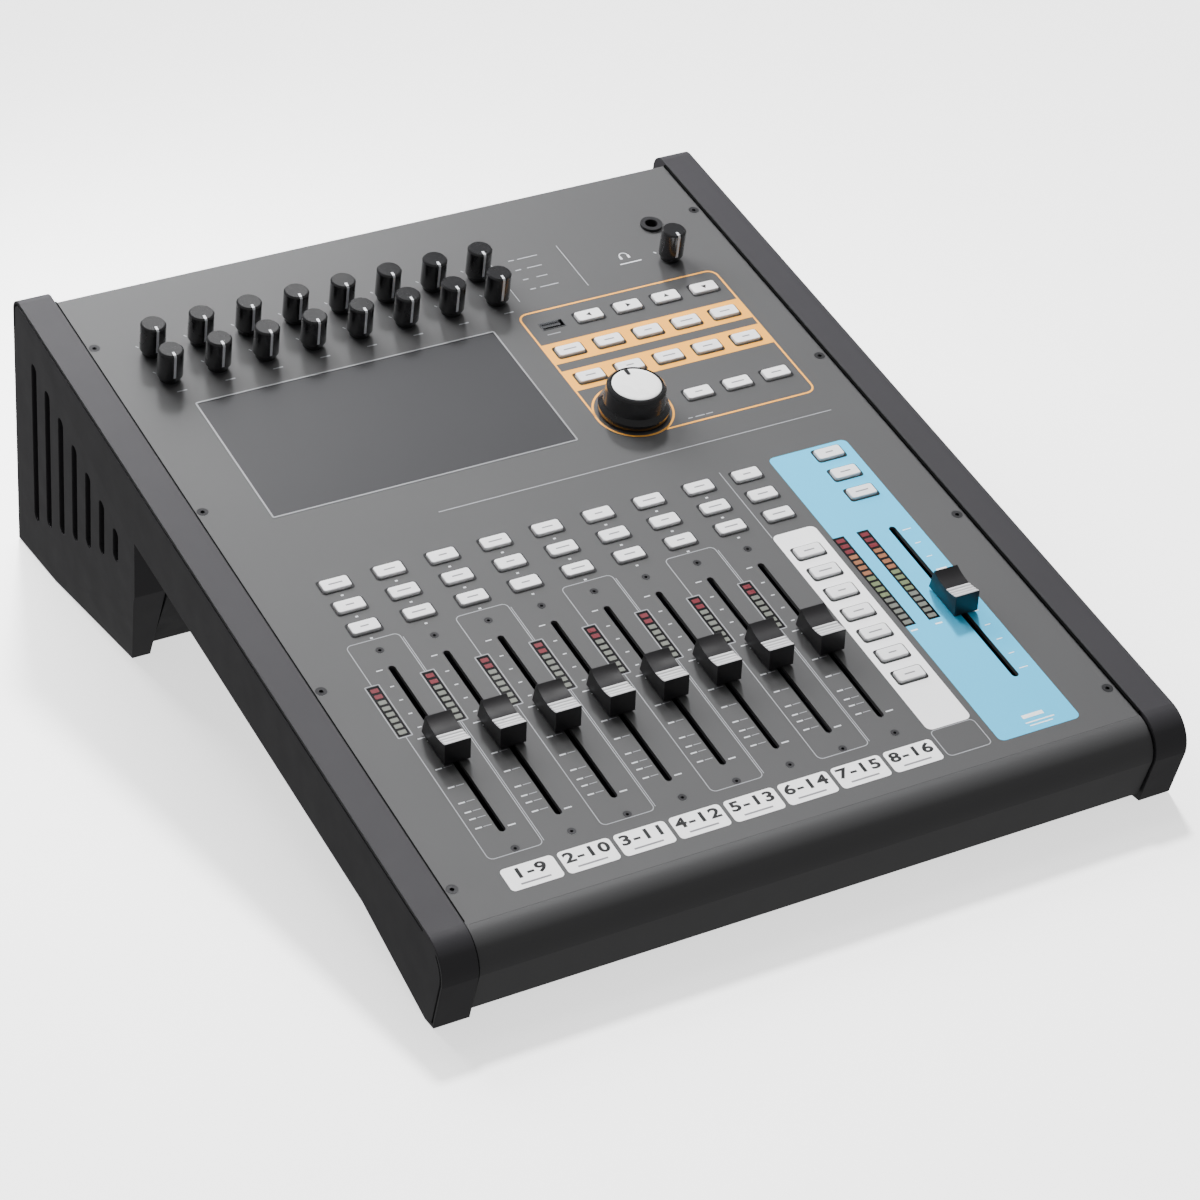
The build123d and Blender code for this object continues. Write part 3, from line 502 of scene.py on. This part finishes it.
def layer_strip():
    column = keys["layer_keys"]
    u = middle(column[0]).x
    left, right = u - 11.1, u + 11.6
    front, rear = slot_front - LAYER_FRONT, column[-1][1].y + 11.0
    holes = [key_hole(box) for box in column]
    printed("layer_film", strip_white, [[rounded(left, front, right, rear, FILM_CORNER)] + holes])
    lines = [ring(left, front - LAYER_OUTLINE, right, front - LINE_WIDTH, 2.6, LINE_WIDTH)]
    bus_rear = keys["bus_keys"][-1][1].y
    lines.append([stroke([(left, rear - 1.0), (left, bus_rear + 2.0)], LINE_WIDTH)])
    printed("layer_outline", ink_line, lines, high=OUTLINE_TOP)


def orange_group():
    grid = keys["function_keys"]
    left, right = grid[0][0].x - 4.3, grid[-1][1].x + 4.4
    front, rear = encoder.y - 18.0, usb[1].y + 9.0
    reach = (ENCODER_RING ** 2 - (encoder.y - front) ** 2) ** 0.5
    path = [(encoder.x + reach, front)]
    for corner_u, corner_v, start in ((right, front, -90), (right, rear, 0), (left, rear, 90)):
        side_u = -1 if corner_u == right else 1
        side_v = 1 if corner_v == front else -1
        for step in range(9):
            angle = radians(start + 90 * step / 8)
            u = corner_u + FRAME_CORNER * (side_u + cos(angle))
            v = corner_v + FRAME_CORNER * (side_v + sin(angle))
            path.append((u, v))
    path.append((left, encoder.y + 2.0))
    round_line = [circle(encoder.x, encoder.y, radius) for radius in (ENCODER_RING, ENCODER_RING - LINE)]
    printed("frame_line", ink_orange, [[stroke(path, LINE)], round_line])
    bands = []
    rows = sorted({round(middle(box).y, 1) for box in grid})
    for v in rows:
        holes = [key_hole(box) for box in grid if abs(middle(box).y - v) < 1]
        edges = (left + 0.3, v - BAND_REACH, right - 0.3, v + BAND_REACH)
        outline = notched_band(*edges) if v == rows[0] else bar(*edges)[0]
        bands.append([outline] + holes)
    printed("function_bands", ink_orange, bands, high=BAND_TOP)
    small = []
    for index, length in enumerate((2.4, 5.0, 3.6)):
        small.append(dash(encoder.x + 23.0 + 5.2 * index, front + 3.2, length, 0.6))
    small.append(dash(usb[0].x + 4.0, usb[0].y - 3.6, 7.0, 0.5))
    printed("encoder_marks", ink_line, small, high=INK_TOP)


def notched_band(left, front, right, rear):
    """A band whose lower edge runs over the encoder's ring."""
    radius = ENCODER_RING
    points = [(left, front)]
    low = max(-1.0, min(1.0, (front - encoder.y) / radius))
    half = radius * (1 - low ** 2) ** 0.5 if encoder.y + radius > front else 0.0
    if half:
        start = atan2(front - encoder.y, -half)
        end = atan2(front - encoder.y, half)
        for step in range(13):
            angle = start + (end - start) * step / 12
            u = encoder.x + radius * cos(angle)
            if u > left:
                points.append((u, encoder.y + radius * sin(angle)))
    return points + [(right, front), (right, rear), (left, rear)]


# ---- Channel print ----
TICKS = (-11.0, -22.8, -32.7, -38.6, -42.9, -48.5)     # below the slot's middle
FRAME_LEFT = 13.1              # from a slot to the line on its left
FRAME_RIGHT = 12.4
FRAME_FRONT = 12.8             # from the slot's front end to the line's
FRAME_REAR = 18.0
FRAME_RADIUS = 2.6
SECOND_LINE = 0.9              # between the two lines on the right
WINDOW_EDGE = 0.75             # from a meter window to the line round it
LABEL_HALF = 12.3


def bracket(left, right, start, end, radius, width):
    """A line with two round corners, along V from start to end, across and back."""
    side = 1 if end > start else -1
    points = [(left, start)]
    for centre_u, first in ((left + radius, 180), (right - radius, 90)):
        for step in range(7):
            angle = radians(first - 15 * step)
            points.append((centre_u + radius * cos(angle), end + side * radius * (sin(angle) - 1)))
    points.append((right, start))
    return [stroke(points, width)]


def channel_print():
    white, pale = [], []
    window_front = channel_windows[0][0].y - WINDOW_EDGE
    window_rear = channel_windows[0][1].y + WINDOW_EDGE
    for index, u in enumerate(channel_u):
        if index % 2 == 0:
            left, right = u - FRAME_LEFT, u + FRAME_RIGHT
            beside = right + SECOND_LINE
            lines = ((window_front, slot_front - FRAME_FRONT), (window_rear, slot_rear + FRAME_REAR))
            for start, end in lines:
                pale.append(bracket(left, right, start, end, FRAME_RADIUS, LINE_WIDTH))
            pale.append([stroke([(beside, slot_front - 11.0), (beside, window_front)], THIN_LINE)])
            pale.append([stroke([(beside, window_rear), (beside, slot_rear + 15.0)], THIN_LINE)])
        for offset in TICKS:
            white.append(dash(u - 8.8, slot_middle + offset, 3.0, 0.7))
            pale.append(dash(u - 4.6, slot_middle + offset, 3.8, THIN_LINE))
        for step in range(5):
            white.append(dash(u - 5.0, slot_rear - 12.0 - 9.0 * step, 1.8, 0.55))
        white.append(dash(u + 5.0, slot_front + 2.2, 3.6, 0.7))
        white.append(dash(u - 5.8, slot_rear - 1.0, 3.0, 0.55))
        white.append(dash(u - 7.4, slot_middle + 8.6, 3.4, 0.55))
    edge = WINDOW_EDGE
    for low, high in channel_windows:
        pale.append(ring(low.x - edge, low.y - edge, high.x + edge, high.y + edge, 0.6, 0.45))
    for bank in ("mute_keys", "solo_keys", "select_keys"):
        for box in keys[bank]:
            white.append(dash(middle(box).x, box[0].y - 2.9, 1.3, 0.9))
    printed("channel_marks", ink_white, white)
    printed("channel_lines", ink_line, pale, high=INK_TOP)


def channel_labels():
    plates, words, small = [], [], []
    for index, u in enumerate(channel_u):
        left, right = u - LABEL_HALF, u + LABEL_HALF
        plates.append([rounded(left, slot_front - 32.6, right, slot_front - 19.5, 2.0)])
        words.append((f"{index + 1}-{index + 9}", u, slot_front - 24.2, 7.8, 1.35))
        small.append(dash(u, slot_front - 29.9, 14.0, 0.9))
    printed("channel_plates", label_white, plates)
    printed("channel_numbers", black_ink_and_painted_shade, [], low=FILM_TOP, high=OVERPRINT_TOP, words=words)
    printed("channel_underlines", ink_grey, small, low=FILM_TOP, high=THIN_OVERPRINT_TOP)


def knob_ticks(place):
    """The two short lines beside a knob, at the ends of its turn."""
    shapes = []
    for angle in (-235, 55):
        across, along_v = cos(radians(angle)), sin(radians(angle))
        ends = [(place.x + reach * across, place.y + reach * along_v) for reach in (7.6, 9.2)]
        shapes.append([stroke(ends, 0.5)])
    return shapes


def panel_lines():
    """The long line under the display and the print round the knobs."""
    shapes = []
    line_v = (keys["select_keys"][0][1].y + glass[0].y) / 2
    shapes.append([stroke([(channel_u[2] + 12.0, line_v), (master_u + 18.0, line_v)], 0.45)])
    knobs = [middle(panel_box(f"gain_knob_{number}")) for number in range(1, 17)]
    for place in knobs:
        shapes += knob_ticks(place)
        shapes.append(dash(place.x + 2.0, place.y - 10.0, 5.0, 0.7))
    right_knob = max(place.x for place in knobs)
    rows_v = (min(place.y for place in knobs), max(place.y for place in knobs))
    for u in (right_knob + 11.0, right_knob + 49.0):
        shapes.append([stroke([(u, rows_v[0] - 4.0), (u, rows_v[1] + 10.0)], LINE_WIDTH)])
    for row in range(4):
        v = rows_v[1] + 6.5 - 8.0 * row
        shapes.append(dash(right_knob + 22.0, v, 3.0, 0.7))
        shapes.append(dash(right_knob + 31.0, v, (11.0, 8.0, 6.0, 10.0)[row], 0.6))
    printed("panel_print", ink_line, shapes)
    phones = middle(panel_box("phones_knob"))
    mark_u, mark_v = phones.x - 21.0, phones.y + 10.0
    arc = [(mark_u + 2.2 * cos(radians(a)), mark_v + 2.2 * sin(radians(a))) for a in range(0, 181, 20)]
    mark = [[stroke(arc, 0.5)], bar(mark_u - 2.8, mark_v - 2.4, mark_u - 1.6, mark_v)]
    mark.append(bar(mark_u + 1.6, mark_v - 2.4, mark_u + 2.8, mark_v))
    mark.append(dash(mark_u + 1.0, mark_v - 6.0, 12.0, 0.7))
    printed("phones_mark", ink_white, mark + knob_ticks(phones))


# ---- Meters ----
CHANNEL_LEDS = 8
MASTER_LEDS = 16
METER_END = 0.6                # from a window's end to its first bar's share of the length
METER_SIDE = 1.0
BAR_SHARE = 0.62               # of the pitch


def meter_bars():
    groups = {"red": [], "amber": [], "green": [], "pale": []}
    for boxes, count in ((channel_windows, CHANNEL_LEDS), (master_windows, MASTER_LEDS)):
        for low, high in boxes:
            pitch = (high.y - low.y - 2 * METER_END) / count
            for step in range(count):
                v = low.y + METER_END + pitch * (step + 0.5)
                from_top = count - 1 - step
                if count == CHANNEL_LEDS:
                    kind = "red" if from_top < 2 else "pale"
                else:
                    kind = ("red", "amber", "green", "pale")[min(3, (from_top + 1) // 4)]
                half_u = (high.x - low.x) / 2 - METER_SIDE
                half_v = pitch * BAR_SHARE / 2
                u = (low.x + high.x) / 2
                groups[kind].append([rounded(u - half_u, v - half_v, u + half_u, v + half_v, 0.3, 2)])
    colours = {"red": led_red, "amber": led_amber, "green": led_green, "pale": led_pale}
    top = windows[0][1].z
    for kind, shapes in groups.items():
        printed(f"meter_bars_{kind}", colours[kind], shapes, low=top, high=top + 0.12)


# ---- Painted shade round the keys, and key marks ----
SHADE_RING_WIDTH = 0.7


def key_seats():
    """Painted shade: a near-black ring round each key, standing in for the shade on its sides and in its
    opening.
    """
    shapes = []
    for bank in KEY_BANKS:
        for box in keys[bank]:
            outer = key_hole(box, FILM_GAP + SHADE_RING_WIDTH)
            shapes.append([outer, key_hole(box)])
    # near-black rings printed round every key as painted shade, not a real part
    printed("key_seats", black_ink_and_painted_shade, shapes, low=FILM_TOP, high=THIN_OVERPRINT_TOP)


def arrow(u, v, size, turn):
    corners = []
    for angle in (90, 210, 330):
        direction = radians(angle + turn)
        corners.append((u + size * cos(direction), v + size * sin(direction)))
    return [corners]


def key_marks():
    for bank in KEY_BANKS:
        shapes = []
        for index, box in enumerate(keys[bank]):
            place = middle(box)
            if bank == "page_keys":
                shapes.append(arrow(place.x, place.y, 1.7, (90, -90, 0, 180)[index % 4]))
            else:
                shapes.append(dash(place.x, place.y, 4.0 + 1.4 * ((index * 5 + len(bank)) % 3), 0.75))
        top = keys[bank][0][1].z
        finish = black_ink_and_painted_shade if bank == "page_keys" else ink_grey
        printed(f"{bank}_marks", finish, shapes, body=bank, low=top, high=top + KEY_PRINT)


# ---- Fader caps ----
CAP_SADDLE = 2.0
CAP_TOP_LENGTH = 19.0
RIDGE = 0.42
RIDGES = 4
BAND_HALF = 3.9
BAND_MIDDLE = -5.3             # from the cap's middle, towards the front


def cap_band(name, box, body):
    """The ridged bright band across the hollow of a cap."""
    place = middle(box)
    top = box[1].z
    half = CAP_TOP_LENGTH / 2
    radius = (half ** 2 + CAP_SADDLE ** 2) / (2 * CAP_SADDLE)
    half_width = (box[1].x - box[0].x) / 2
    steps = 48
    upper, lower = [], []
    for step in range(steps + 1):
        v = BAND_MIDDLE - BAND_HALF + 2 * BAND_HALF * step / steps
        floor = top - CAP_SADDLE + radius - (radius ** 2 - v ** 2) ** 0.5
        ridge = RIDGE * abs(sin(pi * RIDGES * step / steps))
        upper.append((v, floor + 0.15 + ridge))
        lower.append((v, floor - 0.1))
    work = bmesh.new()
    rims = []
    end, drop = 0.35, 0.25                # the band's slanted ends: their length, and how far they fall
    inner = half_width - end
    for u, inset in ((-half_width, drop), (-inner, 0.0), (inner, 0.0), (half_width, drop)):
        rim = [work.verts.new((place.x + u, place.y + v, h - inset)) for v, h in upper]
        rim += [work.verts.new((place.x + u, place.y + v, h)) for v, h in lower[::-1]]
        rims.append(rim)
    for first, second in zip(rims, rims[1:]):
        for index in range(len(first)):
            after = (index + 1) % len(first)
            work.faces.new((first[index], first[after], second[after], second[index]))
    work.faces.new(rims[0])
    work.faces.new(rims[-1][::-1])
    finish_piece(name, work, band_silver, body)


# ---- Knobs ----
POINTER_TURN = -92.0          # from +U, where a knob turned fully down points


def knob_pointer(name, node, body):
    """The white line down a knob's side and on to its top."""
    box = panel_box(node)
    place = middle(box)
    outer = (box[1].x - box[0].x) / 2
    top = box[1].z
    profile = [(outer - 0.02, 5.0), (outer - 0.1, top - 0.8), (outer - 0.9, top), (outer - 3.4, top)]
    work = bmesh.new()
    half = 0.6
    rows = []
    for index, (radius, height) in enumerate(profile):
        lift_out = 0.07 if index < 3 else 0.0
        lift_up = 0.07 if index > 0 else 0.0
        row = []
        for side in (-half, half):
            row.append(work.verts.new((radius + lift_out, side, height + lift_up)))
        for side in (half, -half):
            row.append(work.verts.new((radius - 0.3, side, height - 0.3)))
        rows.append(row)
    for first, second in zip(rows, rows[1:]):
        for index in range(4):
            after = (index + 1) % 4
            work.faces.new((first[index], first[after], second[after], second[index]))
    work.faces.new(rows[0][::-1])
    work.faces.new(rows[-1])
    turn = Matrix.Translation((place.x, place.y, 0)) @ Matrix.Rotation(radians(POINTER_TURN), 4, "Z")
    finish_piece(name, work, ink_white, body, PANEL @ turn)


ENCODER_RIM = 5.3              # from the skirt's edge to the white disc


def encoder_top():
    """The white crowned disc on the encoder and its black pointer."""
    box = panel_box("encoder_knob")
    top = box[1].z
    radius = (box[1].x - box[0].x) / 2 - ENCODER_RIM
    profile = [(0, top - 0.5), (radius, top - 0.5), (radius, top - 0.1), (radius - 0.35, top + 0.12)]
    profile += [(radius * share, top + 0.12 + 0.25 * (1 - share ** 2)) for share in (0.8, 0.6, 0.4, 0.2, 0.0)]
    work = lathe(profile)
    place = Matrix.Translation((encoder.x, encoder.y, 0))
    finish_piece("encoder_disc", work, disc_white, "encoder_knob", PANEL @ place, smooth=True)
    shape = [rounded(-0.95, radius - 4.6, 0.95, radius + 0.1, 0.9)]
    printed("encoder_pointer", black_ink_and_painted_shade, [shape], body="encoder_knob", low=top - 0.2, high=top + 0.42,
            matrix=PANEL @ place)


# ---- Painted shade in the side gaps ----
GAP_SHADE_HALF = 1.2


def side_seals():
    """Painted shade: near-black strips in the gaps between the panel and the cheeks, standing in for the
    shade on the cheeks' inner walls.
    """
    panel_low, panel_high = panel_box("top_panel")
    wall = panel_box("cheek_right")[0].x
    middle_u = (panel_low.x + panel_high.x) / 2
    strips = []
    overlap, end = 0.05, 1.5
    near, far = panel_high.x - middle_u - overlap, wall - middle_u
    for side in (-1, 1):
        left, right = sorted((middle_u + side * near, middle_u + side * far))
        strips.append(bar(left, panel_low.y + end, right, panel_high.y - end))
    # these strips are painted shade, filling the gaps where the cheeks' walls fall dark
    printed("side_seals", gap_shade_black, strips, low=-GAP_SHADE_HALF, high=GAP_SHADE_HALF)


# ---- Display ----
def display_frame():
    low, high = glass
    edge = 0.9
    line = ring(low.x - edge, low.y - edge, high.x + edge, high.y + edge, 1.2, 0.8)
    printed("display_frame", frame_silver, [line], low=-0.02, high=0.16)


# ---- Rear print ----
def rear_print():
    """Socket numbers on the rear panel."""
    rear_box = panel_box("rear_panel")
    facing_rear = Matrix(((-1, 0, 0, 0), (0, 0, 1, 0), (0, 1, 0, 0), (0, 0, 0, 1)))
    plane = Matrix.Translation((0, rear_box[1].y, 0)) @ facing_rear
    words = []
    for index, box in enumerate(sorted(solids("input_sockets"), key=lambda b: (-round(b[1].z), -b[0].x)), 1):
        place = middle(box)
        words.append((str(index), -place.x, box[0].z - 1.6, 2.4, 1.2))
    for index, box in enumerate(sorted(solids("output_sockets"), key=lambda b: -b[0].x), 1):
        words.append((str(index), -middle(box).x, box[0].z - 2.2, 2.4, 1.2))
    printed("rear_numbers", ink_white, [], words=words, matrix=PANEL @ plane)


master_area()
layer_strip()
orange_group()
channel_print()
channel_labels()
panel_lines()
meter_bars()
key_seats()
key_marks()
display_frame()
side_seals()
encoder_top()
rear_print()
for number, cap in enumerate(caps, 1):
    cap_band(f"cap_band_{number}", cap, f"fader_cap_{number}")
cap_band("cap_band_master", master_cap, "master_fader_cap")
for number in range(1, 17):
    knob_pointer(f"gain_pointer_{number}", f"gain_knob_{number}", f"gain_knob_{number}")
knob_pointer("phones_pointer", "phones_knob", "phones_knob")


# ---- Stage ----
def stage():
    bpy.ops.mesh.primitive_plane_add(size=14, location=(0, 0, 0))
    floor = bpy.context.object
    floor.name = "floor"
    paper = material("floor_paper", linear(246, 246, 246), 0.8, 0.01, 400, 0.01, specular=0.2, glow=1.6)
    floor.data.materials.append(paper)
    floor.visible_diffuse = False      # no bounce on the sides, as over a table lined with black card
    floor.visible_glossy = False
    world = bpy.data.worlds.new("studio")
    world.use_nodes = True
    world.node_tree.nodes["Background"].inputs["Color"].default_value = (1, 1, 1, 1)
    world.node_tree.nodes["Background"].inputs["Strength"].default_value = 0.30
    bpy.context.scene.world = world


def light(name, place, target, size, power, glossy=True):
    data = bpy.data.lights.new(name, "AREA")
    data.size = size
    data.energy = power
    lamp = bpy.data.objects.new(name, data)
    lamp.location = place
    lamp.rotation_euler = (Vector(target) - Vector(place)).to_track_quat("-Z", "Y").to_euler()
    lamp.visible_glossy = glossy
    bpy.context.scene.collection.objects.link(lamp)


def sun(name, direction, angle, strength):
    """Distant light that glossy finishes don't mirror."""
    data = bpy.data.lights.new(name, "SUN")
    data.angle = radians(angle)
    data.energy = strength
    lamp = bpy.data.objects.new(name, data)
    lamp.rotation_euler = Vector(direction).to_track_quat("-Z", "Y").to_euler()
    lamp.visible_glossy = False
    bpy.context.scene.collection.objects.link(lamp)


stage()
sun("key", (-0.34, -0.68, -1.0), angle=7, strength=6.6)
light("rear_wash", (-0.12, 0.46, 0.50), (-0.12, 0.0, 0.1), size=0.4, power=9, glossy=False)
light("sheen", (0.0, 0.70, 0.72), (-0.1, 0.1, 0.1), size=0.6, power=1.6)
light("overhead", (0.30, 0.12, 1.1), (0.0, -0.05, 0.1), size=0.35, power=2.4)
